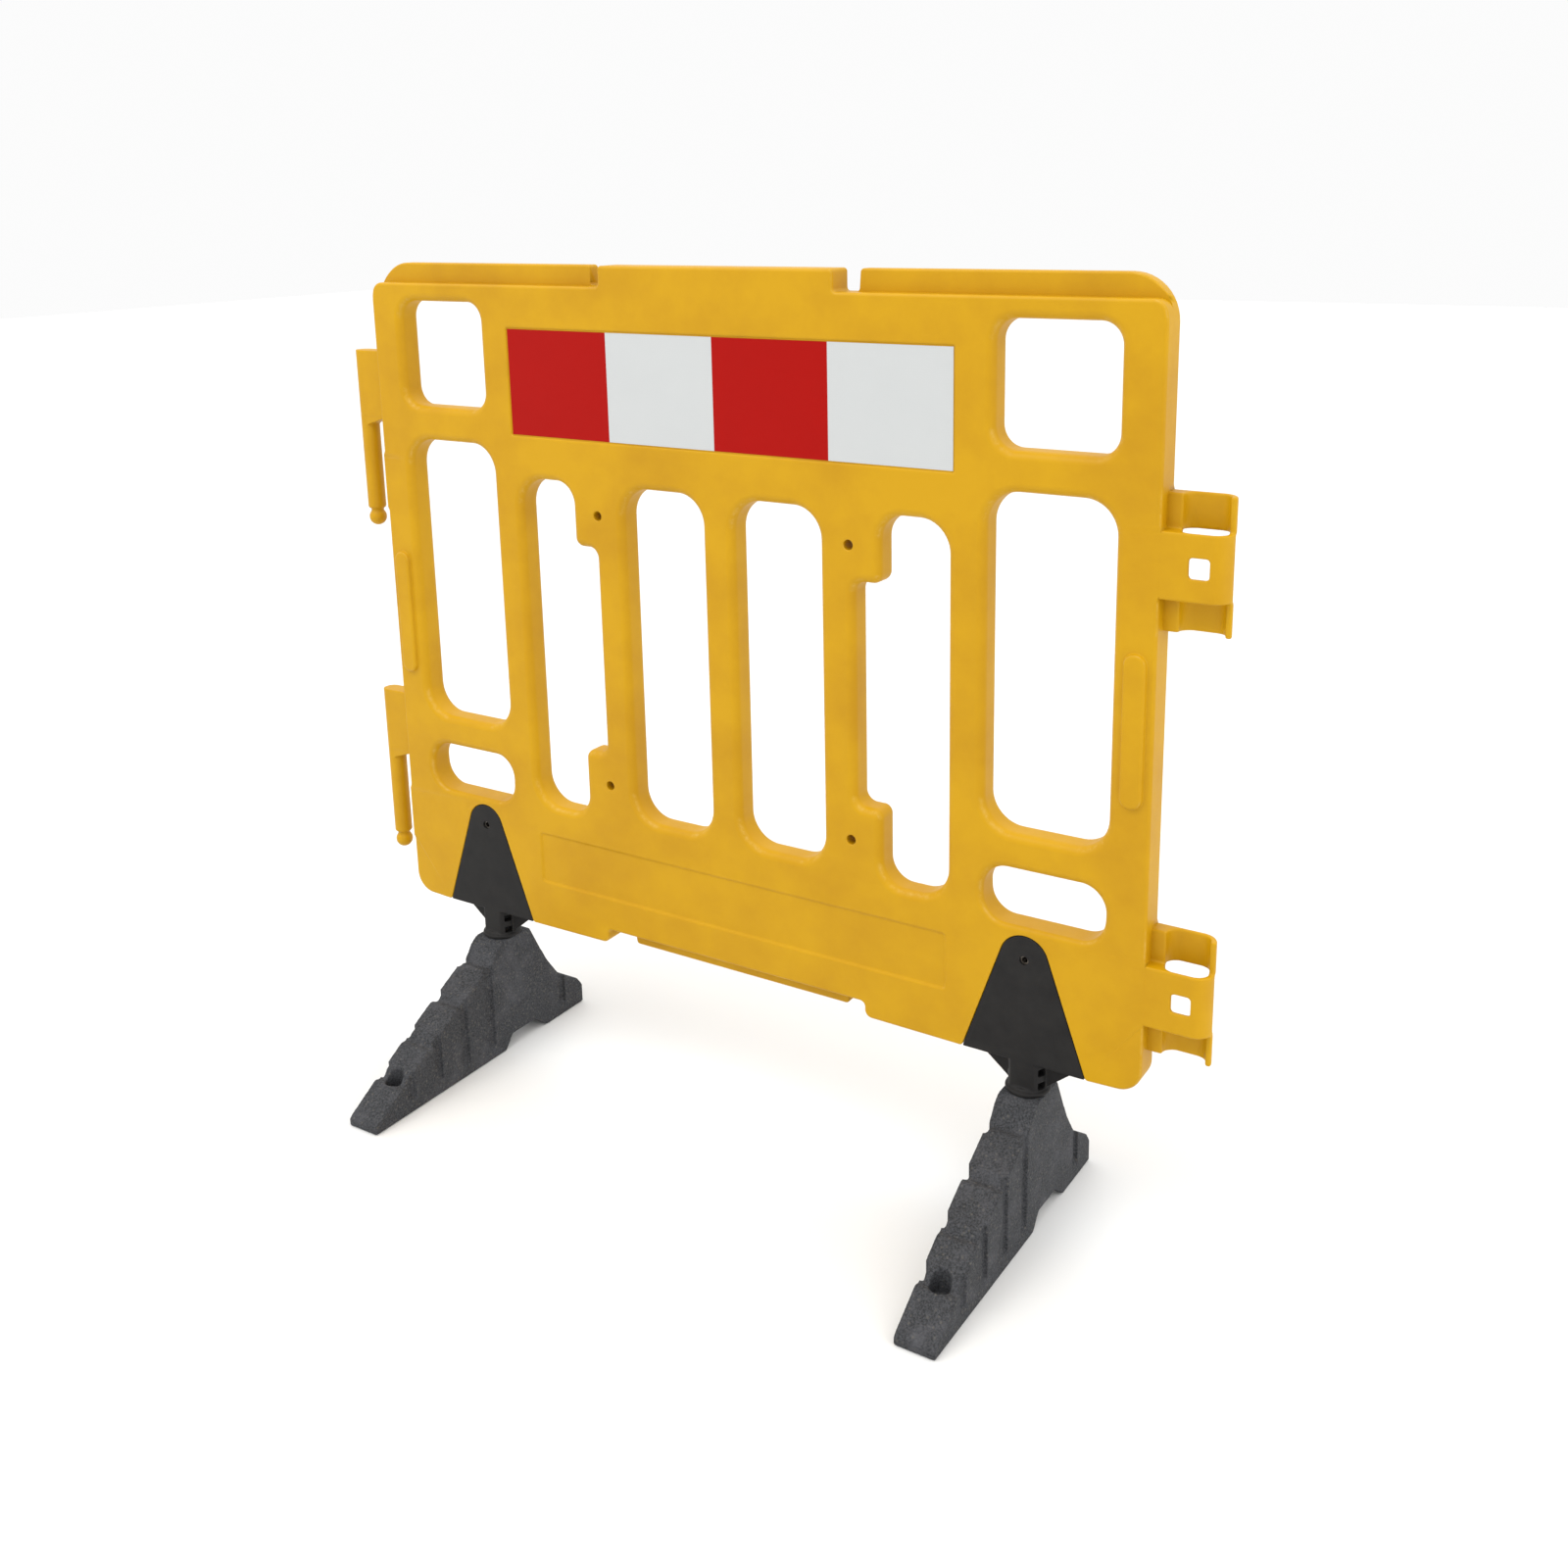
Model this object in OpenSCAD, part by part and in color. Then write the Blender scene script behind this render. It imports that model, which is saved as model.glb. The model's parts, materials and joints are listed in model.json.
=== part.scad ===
// One metre plastic pedestrian barrier: a moulded panel that links to its neighbours,
// carried on two swivelling feet. Millimetres, +Z up, +X along the panel, front towards -Y.
// The origin lies on the floor, in the middle of the footprint.

/* [Panel] */
// Length of the panel, without its links
panel_w = 1000; // [860:1:1400]
// Height of the panel's top edge above the floor
panel_top = 1000; // [940:1:1250]
// Height of the panel's bottom edge above the floor
panel_foot = 187; // [184:1:240]
// Thickness of the panel
panel_t = 34; // [30:1:44]
// Height of the half-thickness steps along the top edge
lap_top = 23; // [14:1:30]
// Height of the half-thickness steps along the bottom edge
lap_bottom = 18; // [12:1:24]
// Half length of the tab in the middle of both edges
tab_half = 150; // [110:1:180]
// Gap beside the tab on the top edge
tab_gap = 23; // [12:1:40]
// Gap beside the tab on the bottom edge
foot_gap = 30; // [12:1:40]
// Radius of the front top corners
front_r = 16; // [6:1:22]
// Radius of the back top corners
back_r = 45; // [20:1:60]
// Radius of the bottom corners
bottom_r = 26; // [8:1:40]

/* [Openings] */
// Width of the side posts
stile_w = 44; // [36:1:60]
// Width of the bars between the slots
bar_w = 41; // [30:1:55]
// Width of the four middle slots
slot_w = 109.5; // [90:0.5:115]
// Height of the stepped slots' lower end
slot_low = 349; // [335:1:370]
// Height of the two innermost slots' lower end
inner_low = 357; // [335:1:375]
// Height of the middle slots' upper end
slot_high = 755; // [740:1:775]
// Height of the outer slots' lower end
side_slot_low = 439; // [425:1:460]
// Height of the outer slots' upper end
side_slot_high = 790; // [760:1:800]
// Radius of the slots' corners
slot_r = 34; // [12:1:40]
// Height of the hand holds' lower end
hand_low = 339; // [334:1:350]
// Height of the hand holds' upper end
hand_high = 400; // [380:1:405]
// Radius of the hand holds' corners
hand_r = 27; // [10:1:29]
// Width of the top windows
window_w = 127; // [80:1:130]
// Lower edge of the top windows
window_low = 831; // [820:1:850]
// Height of the top windows
window_h = 125; // [80:1:126]
// Radius of the top windows' corners
window_r = 22; // [8:1:30]

/* [Sign fixing] */
// Distance between the sign holes along the panel
sign_x = 331; // [320:1:345]
// Distance between the sign holes up the panel
sign_z = 326; // [300:1:340]
// Height of the lower sign holes
sign_low = 394; // [385:1:400]
// Radius of the sign holes
sign_r = 5.5; // [3:0.5:7]
// Width of panel kept beside the middle slots for each sign hole
boss_w = 31.5; // [26:0.5:40]
// Height of panel kept above and below each sign hole
boss_h = 39; // [26:1:50]
// Radius of the stepped slots' inner corners
boss_r = 12; // [4:1:16]

/* [Reflective strip] */
// Length of one block of film
film_w = 143; // [100:1:144]
// Height of the film
film_h = 121.4; // [80:0.2:125]
// Height of the film's middle above the floor
film_z = 867; // [860:1:880]
// Thickness of the film
film_t = 0.6; // [0.4:0.1:1]
// Depth of the recess that the film lies in
film_recess = 1.6; // [1.2:0.1:2.5]
// Gap round the film in its recess
film_gap = 1.5; // [0.5:0.5:3]

/* [Panel details] */
// Length of the plain recess under the slots
plate_w = 559; // [400:1:570]
// Height of the plain recess
plate_h = 64; // [40:1:80]
// Height of the plain recess's lower edge
plate_low = 247; // [240:1:260]
// Depth of the plain recess
plate_depth = 2; // [1:0.5:3]
// Distance of the stacking lugs from the panel's ends
lug_inset = 20; // [14:1:28]
// Width of a stacking lug
lug_w = 23; // [12:1:26]
// Height of a stacking lug
lug_h = 156; // [80:1:200]
// Height of the lugs' middle above the floor
lug_z = 569; // [540:1:600]
// How far a lug stands out of the panel
lug_out = 5; // [2:0.5:8]

/* [Links] */
// Height of the upper link's middle above the floor
link_z = 734.5; // [700:0.5:760]
// Distance between the upper and the lower link
link_pitch = 437.5; // [400:0.5:480]
// Distance of the link's axis from the panel's end
link_out = 37; // [34:0.5:44]
// Radius of a link pin
pin_r = 11; // [8:0.5:11.5]
// Radius of the round tip of a link pin
tip_r = 11.5; // [8:0.5:12]
// Height of the block that holds a link pin
block_h = 90; // [60:1:110]
// Height of the front strap of a link socket
strap_h = 65; // [50:1:75]
// Height of each back strap of a link socket
half_h = 34; // [20:1:40]
// Length of the socket's hollow along the panel
hollow_l = 44; // [32:1:50]
// Wall of the socket's straps
strap_t = 4.5; // [3:0.5:5]
// Wall at the outer end of the socket
end_t = 6; // [4:0.5:8]
// Side of the square window in the front strap
peep = 20; // [10:1:26]

/* [Foot brackets] */
// Distance between the two feet's swivel axes
foot_pitch = 741; // [720:1:900]
// Width of a bracket at its lower edge
bracket_w = 139; // [120:1:150]
// Height of a bracket's round top's centre above the panel's bottom edge
bracket_h = 116; // [90:1:120]
// Radius of a bracket's round top
bracket_r = 26.8; // [20:0.2:32]
// Thickness of a bracket's cheeks
cheek_t = 5; // [3.5:0.5:7]
// Thickness of the plate that joins the cheeks
saddle_t = 6; // [4:0.5:8]
// Gap round a bracket in the panel
bracket_gap = 0.8; // [0.4:0.1:1.5]
// Radius of the bracket's round neck
neck_r = 21.5; // [19:0.5:23]
// Wall of the neck
neck_wall = 4; // [3:0.5:5]
// Radius of the collar under the neck
collar_r = 24.5; // [23:0.5:27]
// Height of the collar
collar_h = 5; // [3:0.5:8]
// Radius of the hub inside the neck
hub_r = 11; // [9:0.5:13]
// Width of the neck's windows
vent_w = 10; // [6:0.5:12]
// Height of the neck's windows
vent_h = 8; // [5:0.5:9]
// Reach of the webs beside the neck
web_reach = 38; // [20:1:44]
// Thickness of the webs beside the neck
web_t = 5; // [3:0.5:8]
// Radius of the cross pin
cross_r = 5; // [3:0.5:6]
// Wall of the hollow cross pin
cross_wall = 1.8; // [1:0.1:2.2]
// Width of the slit along the cross pin
cross_slit = 1.2; // [0.6:0.1:2]
// Distance of the cross pin's ends below the bracket's faces
cross_sink = 3; // [1:0.5:4]

/* [Feet] */
// Height of a foot
foot_h = 150; // [140:1:160]
// Width of a foot
foot_w = 45; // [40:1:60]
// Reach of the toe in front of the swivel axis
toe = 256; // [220:1:320]
// Reach of the heel behind the swivel axis
heel = 123; // [100:1:160]
// Height of the toe's blunt end
toe_h = 12; // [8:1:20]
// Number of steps on the toe's slope
steps = 4; // [3:1:5]
// Depth of the side grooves
groove_d = 4; // [2:0.5:6]
// Width of the side grooves
groove_w = 13; // [8:1:18]
// Distance of the nearest toe groove from the swivel axis
groove_first = 55; // [50:1:60]
// Distance between the toe grooves
groove_pitch = 47; // [40:1:48]
// Distance of the heel groove from the swivel axis
groove_heel = 81; // [75:1:90]
// Height of the material left under the side grooves
groove_low = 14; // [10:1:20]
// Height of the arch under the foot
arch_h = 18; // [12:1:22]
// Distance of the spike hole in front of the swivel axis
spike_y = 201; // [190:1:215]
// Radius of the spike hole at the floor
spike_r = 8; // [5:0.5:9]
// Radius of the spike hole's wide upper part
spike_wide_r = 11; // [9:0.5:13]
// Height of the ledge in the spike hole
spike_ledge = 22; // [10:1:28]

/* [Swivel bolt] */
// Radius of the swivel bolt's shank
bolt_r = 6; // [5:0.5:7]
// Width across the flats of the bolt's head and nut
flats = 19; // [16:0.5:21]
// Height of the bolt's head
head_h = 7.5; // [5:0.5:9]
// Height of the lock nut
nut_h = 12; // [8:0.5:14]
// Radius of the washer under the nut
washer_r = 12; // [11:0.5:14]
// Thickness of the washer
washer_t = 2.5; // [1.5:0.5:3]

/* [Hidden] */

$fn = 64;
cut = 1;                       // how far a cut runs past the face it opens
run_gap = 0.06;                // radial clearance of the swivel bolt in the neck
face_gap = 0.3;                // gap between faces that turn on each other
seat_gap = 0.5;                // gap between the bracket's saddle and the panel
pin_fit = 0.05;                // radial gap round a cross pin and in a nut
link_gap = 3;                  // gap between a socket and the block of the pin in it
strap_lap = 2;                 // how far a socket's straps reach past the panel's middle
tip_flat = 0.3;                // height cut off the lowest point of a pin's ball
nut_room = 3;                  // room round the washer in the panel
half_t = panel_t / 2;
half_w = panel_w / 2;
foot_x = foot_pitch / 2;
link_half = strap_h / 2 + half_h;
socket_end = half_w + link_out + hollow_l / 2 + end_t;
pin_end = half_w + link_out + tip_r;

// middle of the footprint, so that the origin can lie under it
mid_x = (socket_end - pin_end) / 2;
mid_y = (heel - toe) / 2;

// places of the slots, from the middle of the panel outwards
inner_slot = bar_w / 2;
step_slot = inner_slot + slot_w + bar_w;
side_slot = step_slot + slot_w + bar_w;
side_slot_end = half_w - stile_w;
window_in = side_slot_end - window_w;
sign_high = sign_low + sign_z;

// heights in the bracket, the neck and the foot
saddle_top = panel_foot + saddle_t;
neck_h = panel_foot - foot_h;
cross_z = panel_foot + bracket_h;
vent_z = [for (row = [0, 1]) foot_h + neck_h * (row == 0 ? 0.3 : 0.72)];
pocket_h = head_h + 4;
pocket_z = arch_h - cut;
washer_z = saddle_top + face_gap;
nut_z = washer_z + washer_t;
bolt_top = nut_z + nut_h + 3;
nut_pocket_top = bolt_top + 4;

// the toe's slope: each step starts at slope(i) and ends in a shallow dip
slope_top = foot_h - 17;
slope_end = 43;
step_y = (toe - 3 - slope_end) / steps;
step_z = (slope_top - toe_h) / steps;

// ---------- flat shapes ----------

// rectangle with round corners, from its lower left to its upper right corner
module round_rect(low, high, r) {
    rr = max(0.5, min(r, (high.x - low.x) / 2 - 0.1, (high.y - low.y) / 2 - 0.1));
    translate([low.x + rr, low.y]) square([high.x - low.x - 2 * rr, high.y - low.y]);
    translate([low.x, low.y + rr]) square([high.x - low.x, high.y - low.y - 2 * rr]);
    for (x = [low.x + rr, high.x - rr], y = [low.y + rr, high.y - rr])
        translate([x, y]) circle(rr);
}

// draws a flat x-z shape as a slab between two depths
module slab(front, back) {
    translate([0, back, 0]) rotate([90, 0, 0]) linear_extrude(back - front) children();
}

// repeats a shape on both sides of the middle
module both() {
    children();
    mirror([1, 0]) children();
}

// outline whose top corners differ from its bottom ones
module panel_outline(top, r) {
    translate([-half_w, panel_foot + bottom_r]) square([panel_w, top - r - panel_foot - bottom_r]);
    translate([bottom_r - half_w, panel_foot]) square([panel_w - 2 * bottom_r, bottom_r + cut]);
    translate([r - half_w, top - r - cut]) square([panel_w - 2 * r, r + cut]);
    both() {
        translate([half_w - bottom_r, panel_foot + bottom_r]) circle(bottom_r);
        translate([half_w - r, top - r]) circle(r);
    }
}

module front_half() {
    panel_outline(panel_top - lap_top, front_r);
    translate([-tab_half, panel_top - 2 * lap_top]) square([2 * tab_half, 2 * lap_top]);
}

module back_half() {
    difference() {
        panel_outline(panel_top, back_r);
        both() translate([tab_half, panel_top - lap_top]) square([tab_gap, lap_top + cut]);
    }
}

// slot that narrows at both ends to leave room for the sign holes
module stepped_slot() {
    round_rect([step_slot + boss_w, slot_low], [step_slot + slot_w, slot_high], slot_r);
    round_rect([step_slot, sign_low + boss_h], [step_slot + slot_w - slot_r, sign_high - boss_h], boss_r);
}

module openings() {
    both() {
        round_rect([inner_slot, inner_low], [inner_slot + slot_w, slot_high], slot_r);
        stepped_slot();
        round_rect([side_slot, side_slot_low], [side_slot_end, side_slot_high], slot_r);
        round_rect([side_slot, hand_low], [side_slot_end, hand_high], hand_r);
        round_rect([window_in, window_low], [side_slot_end, window_low + window_h], window_r);
        for (z = [sign_low, sign_high]) translate([sign_x / 2, z]) circle(sign_r);
    }
}

// bracket seen from the front, larger all round by grow
module bracket_shape(grow) {
    r = bracket_r + grow;
    side = bracket_w / 2 + grow;
    base = panel_foot - (grow > 0 ? cut : 0);
    lean = acos(r / norm([side, bracket_h])) - atan2(bracket_h, side);
    translate([0, cross_z]) circle(r);
    polygon([[-side, base], [side, base],
        [r * cos(lean), cross_z + r * sin(lean)], [-r * cos(lean), cross_z + r * sin(lean)]]);
}

// ---------- panel ----------

// height of the underside of a pin's block, just above the neighbour's socket
function block_z(z) = z + link_half + link_gap;

// pin that hangs from a block beside the panel: a plain shank, a narrow neck and a ball
module link_pin(z) {
    ball_z = z - link_half + tip_r + 4;
    shank_z = ball_z + 10;
    translate([-half_w - link_out, 0, 0]) {
        translate([0, 0, block_z(z)]) linear_extrude(block_h) {
            circle(pin_r);
            translate([0, -pin_r]) square([link_out + cut, 2 * pin_r]);
        }
        translate([0, 0, shank_z]) cylinder(r = pin_r, h = block_z(z) - shank_z + cut);
        translate([0, 0, ball_z]) cylinder(r = pin_r - 1.5, h = shank_z - ball_z + cut);
        translate([0, 0, ball_z]) intersection() {
            sphere(tip_r);
            translate([-tip_r, -tip_r, tip_flat - tip_r]) cube(2 * tip_r);
        }
    }
}

module socket_plan() {
    end_x = half_w + link_out + hollow_l / 2;
    difference() {
        union() {
            translate([end_x + end_t - half_t, 0]) circle(half_t);
            translate([half_w - cut, -half_t]) square([end_x + end_t - half_t - half_w + cut, panel_t]);
        }
        round_rect([end_x - hollow_l, strap_t - half_t], [end_x, half_t - strap_t], half_t - strap_t);
    }
}

// one strap of a socket: side is -1 in front and 1 behind
module strap(z, h, side) {
    translate([0, 0, z]) linear_extrude(h) intersection() {
        socket_plan();
        translate([half_w - cut, side < 0 ? -half_t : -strap_lap])
            square([link_out + hollow_l, half_t + strap_lap]);
    }
}

module link_socket(z) {
    strap(z + strap_h / 2, half_h, 1);
    strap(z - strap_h / 2 - half_h, half_h, 1);
    difference() {
        strap(z - strap_h / 2, strap_h, -1);
        slab(-half_t - cut, 0) round_rect([half_w + link_out - peep / 2, z - peep / 2],
            [half_w + link_out + peep / 2, z + peep / 2], 4);
    }
}

// cutter for a recess of the given depth in the front, side -1, or the back, side 1
module shallow(side, depth) {
    slab(side < 0 ? -half_t - cut : half_t - depth, side < 0 ? depth - half_t : half_t + cut) children();
}

module film_recesses() {
    strip = 2 * film_w + film_gap;
    for (side = [-1, 1]) {
        shallow(side, film_recess)
            translate([-strip, film_z - film_h / 2 - film_gap]) square([2 * strip, film_h + 2 * film_gap]);
        shallow(side, plate_depth) translate([-plate_w / 2, plate_low]) square([plate_w, plate_h]);
    }
}

module bracket_seat(x) {
    cheek = cheek_t + face_gap;
    translate([x, 0, 0]) {
        slab(-half_t - cut, cheek - half_t) bracket_shape(bracket_gap);
        slab(half_t - cheek, half_t + cut) bracket_shape(bracket_gap);
        translate([-bracket_w / 2 - bracket_gap, -half_t - cut, panel_foot - cut])
            cube([bracket_w + 2 * bracket_gap, panel_t + 2 * cut, saddle_t + seat_gap + cut]);
        translate([-washer_r - nut_room, -half_t - cut, panel_foot - cut])
            cube([2 * (washer_r + nut_room), panel_t + 2 * cut, nut_pocket_top - panel_foot + cut]);
        translate([0, half_t, cross_z]) rotate([90, 0, 0]) cylinder(r = cross_r, h = panel_t);
    }
}

module panel() {
    color("gold") difference() {
        union() {
            slab(-half_t, 0) difference() {
                front_half();
                translate([-tab_half - foot_gap, panel_foot - cut])
                    square([2 * (tab_half + foot_gap), lap_bottom + cut]);
                openings();
            }
            slab(0, half_t) difference() {
                back_half();
                both() translate([tab_half, panel_foot - cut]) square([foot_gap, lap_bottom + cut]);
                openings();
            }
            slab(-half_t - lug_out, 1 - half_t) both()
                round_rect([half_w - lug_inset - lug_w / 2, lug_z - lug_h / 2],
                    [half_w - lug_inset + lug_w / 2, lug_z + lug_h / 2], lug_w / 2 - 0.2);
            for (z = [link_z, link_z - link_pitch]) {
                link_pin(z);
                link_socket(z);
            }
        }
        film_recesses();
        for (side = [-1, 1]) bracket_seat(side * foot_x);
    }
}

// ---------- reflective film ----------

// one block of film: place counts the blocks from the left, side is -1 in front and 1 behind
module film(place, side, tint) {
    seat = half_t - film_recess;
    color(tint) translate([(place - 2) * film_w, side < 0 ? -seat - film_t : seat, film_z - film_h / 2])
        cube([film_w, film_t, film_h]);
}

// ---------- brackets ----------

module neck() {
    difference() {
        union() {
            intersection() {
                translate([0, 0, foot_h + face_gap]) cylinder(r = neck_r, h = neck_h - face_gap + cut);
                translate([-neck_r, -half_t, foot_h]) cube([2 * neck_r, panel_t, neck_h + 2 * cut]);
            }
            translate([0, 0, foot_h + face_gap]) cylinder(r = collar_r, h = collar_h);
            slab(-web_t / 2, web_t / 2) polygon([
                [-neck_r - web_reach, panel_foot + cut], [neck_r + web_reach, panel_foot + cut],
                [neck_r - cut, foot_h + collar_h], [cut - neck_r, foot_h + collar_h]]);
        }
        translate([0, 0, foot_h + collar_h]) difference() {
            cylinder(r = neck_r - neck_wall, h = neck_h - collar_h);
            translate([0, 0, -cut]) cylinder(r = hub_r, h = neck_h);
            for (turn = [0, 90]) rotate([0, 0, turn])
                translate([-neck_r, -web_t / 2, -cut]) cube([2 * neck_r, web_t, neck_h]);
        }
        for (z = vent_z, turn = [-66, 66, 114, 246])
            rotate([0, 0, turn - 90]) translate([hub_r + 1, -vent_w / 2, z - vent_h / 2])
                cube([neck_r, vent_w, vent_h]);
    }
}

module bracket(x) {
    color("dimgray") translate([x, 0, 0]) difference() {
        union() {
            slab(-half_t, cheek_t - half_t) bracket_shape(0);
            slab(half_t - cheek_t, half_t) bracket_shape(0);
            translate([-bracket_w / 2, -half_t, panel_foot]) cube([bracket_w, panel_t, saddle_t]);
            neck();
        }
        translate([0, 0, foot_h]) cylinder(r = bolt_r + run_gap, h = neck_h + saddle_t + cut);
        translate([0, half_t + cut, cross_z]) rotate([90, 0, 0]) cylinder(r = cross_r, h = panel_t + 2 * cut);
    }
}

// slotted spring pins that lock the brackets to the panel
module cross_pins() {
    length = panel_t - 2 * cross_sink;
    color("silver") for (side = [-1, 1])
        translate([side * foot_x, length / 2, cross_z]) rotate([90, 0, 0]) difference() {
            cylinder(r = cross_r - pin_fit, h = length);
            translate([0, 0, -cut]) cylinder(r = cross_r - cross_wall, h = length + 2 * cut);
            translate([-cross_slit / 2, 0, -cut]) cube([cross_slit, cross_r + cut, length + 2 * cut]);
        }
}

// ---------- feet ----------

// start of a step on the toe's slope
function step_start(i) = [3 - toe + step_y * i, toe_h + step_z * i];

// one step: a long ramp, a shallow dip and a short rise to the next
function step_points(i) = let (p = step_start(i)) [
    p,
    p + [step_y * 0.69, step_z * 0.72],
    p + [step_y * 0.86, step_z * 0.6],
    p + [step_y * 0.96, step_z * 0.82]
];

module foot_profile() {
    polygon(concat(
        [[-toe, 0], [-toe, toe_h - 4]],
        [for (i = [0 : steps - 1]) each step_points(i)],
        [step_start(steps), [-37, foot_h - 8], [-26, foot_h], [26, foot_h], [33, foot_h - 14],
            [66, foot_h / 2], [heel - 9, 32], [heel, 22], [heel, 0],
            [49, 0], [26, arch_h], [-17, arch_h], [-31, 0]]
    ));
}

// groove down one side of the foot, open at the top
module groove(y, side) {
    translate([side * foot_w / 2 - (side < 0 ? cut : groove_d), y - groove_w / 2, groove_low])
        cube([groove_d + cut, groove_w, foot_h]);
}

module foot(x) {
    color("darkslategray") translate([x, 0, 0]) difference() {
        translate([-foot_w / 2, 0, 0]) rotate([90, 0, 90]) linear_extrude(foot_w) foot_profile();
        for (side = [-1, 1]) {
            for (i = [0 : 3]) groove(-groove_first - groove_pitch * i, side);
            groove(groove_heel, side);
        }
        translate([0, -spike_y, -cut]) cylinder(r = spike_r, h = foot_h);
        translate([0, -spike_y, spike_ledge]) cylinder(r = spike_wide_r, h = foot_h);
        translate([0, 0, -cut]) cylinder(r = bolt_r + run_gap, h = foot_h + 2 * cut);
        translate([0, 0, pocket_z]) cylinder(r = flats / 2 + 3, h = pocket_h);
    }
}

// ---------- swivel bolts ----------

// hexagon of the given height, measured across its flats
module hexagon(h) {
    cylinder(r = flats / 2 / cos(30), h = h, $fn = 6);
}

module swivel_bolt(x) {
    shank_z = pocket_z + pocket_h;
    color("silver") translate([x, 0, 0]) {
        translate([0, 0, shank_z - head_h]) hexagon(head_h);
        translate([0, 0, shank_z - head_h / 2]) cylinder(r = bolt_r, h = bolt_top - shank_z + head_h / 2);
    }
}

module swivel_nut(x) {
    color("silver") translate([x, 0, nut_z]) difference() {
        union() {
            hexagon(nut_h * 0.7);
            cylinder(r = flats / 2 - 0.5, h = nut_h);
        }
        translate([0, 0, -cut]) cylinder(r = bolt_r + pin_fit, h = nut_h + 2 * cut);
    }
}

module swivel_washer(x) {
    color("silver") translate([x, 0, washer_z]) difference() {
        cylinder(r = washer_r, h = washer_t);
        translate([0, 0, -cut]) cylinder(r = bolt_r + run_gap, h = washer_t + 2 * cut);
    }
}

// puts a piece that is drawn about the panel's middle over the origin
module place() {
    translate([-mid_x, -mid_y, 0]) children();
}

place() panel();
place() film(0, -1, "firebrick");  // front_film_red_left
place() film(1, -1, "white");  // front_film_white_left
place() film(2, -1, "firebrick");  // front_film_red_right
place() film(3, -1, "white");  // front_film_white_right
place() film(3, 1, "firebrick");  // back_film_red_left
place() film(2, 1, "white");  // back_film_white_left
place() film(1, 1, "firebrick");  // back_film_red_right
place() film(0, 1, "white");  // back_film_white_right
place() bracket(-foot_x);  // bracket_left
place() bracket(foot_x);  // bracket_right
place() cross_pins();
place() foot(-foot_x);  // foot_left
place() foot(foot_x);  // foot_right
place() swivel_bolt(-foot_x);  // swivel_bolt_left
place() swivel_bolt(foot_x);  // swivel_bolt_right
place() swivel_nut(-foot_x);  // swivel_nut_left
place() swivel_nut(foot_x);  // swivel_nut_right
place() swivel_washer(-foot_x);  // swivel_washer_left
place() swivel_washer(foot_x);  // swivel_washer_right
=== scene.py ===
# One metre pedestrian barrier: yellow moulded panel, reflective strip, black foot brackets, rubber feet.
# Shapes are drawn in millimetres about the middle of the panel and then carried into the frame.
import json
import math

import bmesh
import bpy
from mathutils import Matrix, Vector
from mathutils.geometry import tessellate_polygon

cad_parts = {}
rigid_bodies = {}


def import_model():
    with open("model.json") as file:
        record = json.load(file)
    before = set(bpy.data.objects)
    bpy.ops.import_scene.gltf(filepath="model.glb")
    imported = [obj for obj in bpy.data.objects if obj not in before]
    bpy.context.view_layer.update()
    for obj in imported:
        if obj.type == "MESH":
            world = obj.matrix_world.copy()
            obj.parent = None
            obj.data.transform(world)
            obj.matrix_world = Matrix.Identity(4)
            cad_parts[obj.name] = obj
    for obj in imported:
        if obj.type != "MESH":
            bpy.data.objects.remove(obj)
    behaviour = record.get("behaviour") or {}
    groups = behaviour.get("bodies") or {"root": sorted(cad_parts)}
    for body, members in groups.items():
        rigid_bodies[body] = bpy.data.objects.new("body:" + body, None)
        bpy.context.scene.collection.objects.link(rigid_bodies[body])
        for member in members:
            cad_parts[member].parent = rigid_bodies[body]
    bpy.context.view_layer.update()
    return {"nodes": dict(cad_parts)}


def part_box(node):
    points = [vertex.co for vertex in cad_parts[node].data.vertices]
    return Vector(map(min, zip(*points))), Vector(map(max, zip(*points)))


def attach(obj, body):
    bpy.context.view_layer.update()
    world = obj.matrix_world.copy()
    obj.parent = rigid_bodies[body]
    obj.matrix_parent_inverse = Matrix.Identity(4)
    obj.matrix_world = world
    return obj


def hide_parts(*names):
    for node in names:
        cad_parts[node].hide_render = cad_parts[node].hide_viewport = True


for leftover in list(bpy.data.objects):
    bpy.data.objects.remove(leftover)
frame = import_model()
print("frame loaded:", len(frame["nodes"]), "nodes")

# where the frame says things are, in millimetres
mm = 0.001


def boxOf(node):
    low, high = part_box(node)
    return low / mm, high / mm


panelLow, panelHigh = boxOf("panel")
leftLow, leftHigh = boxOf("bracket_left")
rightLow, rightHigh = boxOf("bracket_right")
middleX = (leftLow.x + rightHigh.x) / 2
middleY = (leftLow.y + leftHigh.y) / 2
halfT = panelHigh.y - middleY
panelFoot = panelLow.z
panelTop = panelHigh.z
footX = (rightLow.x + rightHigh.x) / 2 - middleX
footH = boxOf("foot_left")[1].z


def linear(hexColour):
    # sRGB hex to the linear colour that the shaders want
    out = []
    for i in (1, 3, 5):
        c = int(hexColour[i:i + 2], 16) / 255
        out.append(c / 12.92 if c <= 0.04045 else ((c + 0.055) / 1.055) ** 2.4)
    return out + [1.0]


def addNode(tree, kind, settings=None, links=None):
    node = tree.nodes.new(kind)
    for key, value in (settings or {}).items():
        if key in node.inputs:
            node.inputs[key].default_value = value
        else:
            setattr(node, key, value)
    for key, source in (links or {}).items():
        tree.links.new(source, node.inputs[key])
    return node


def linkObject(name, data):
    piece = bpy.data.objects.new(name, data)
    bpy.context.scene.collection.objects.link(piece)
    return piece


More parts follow.
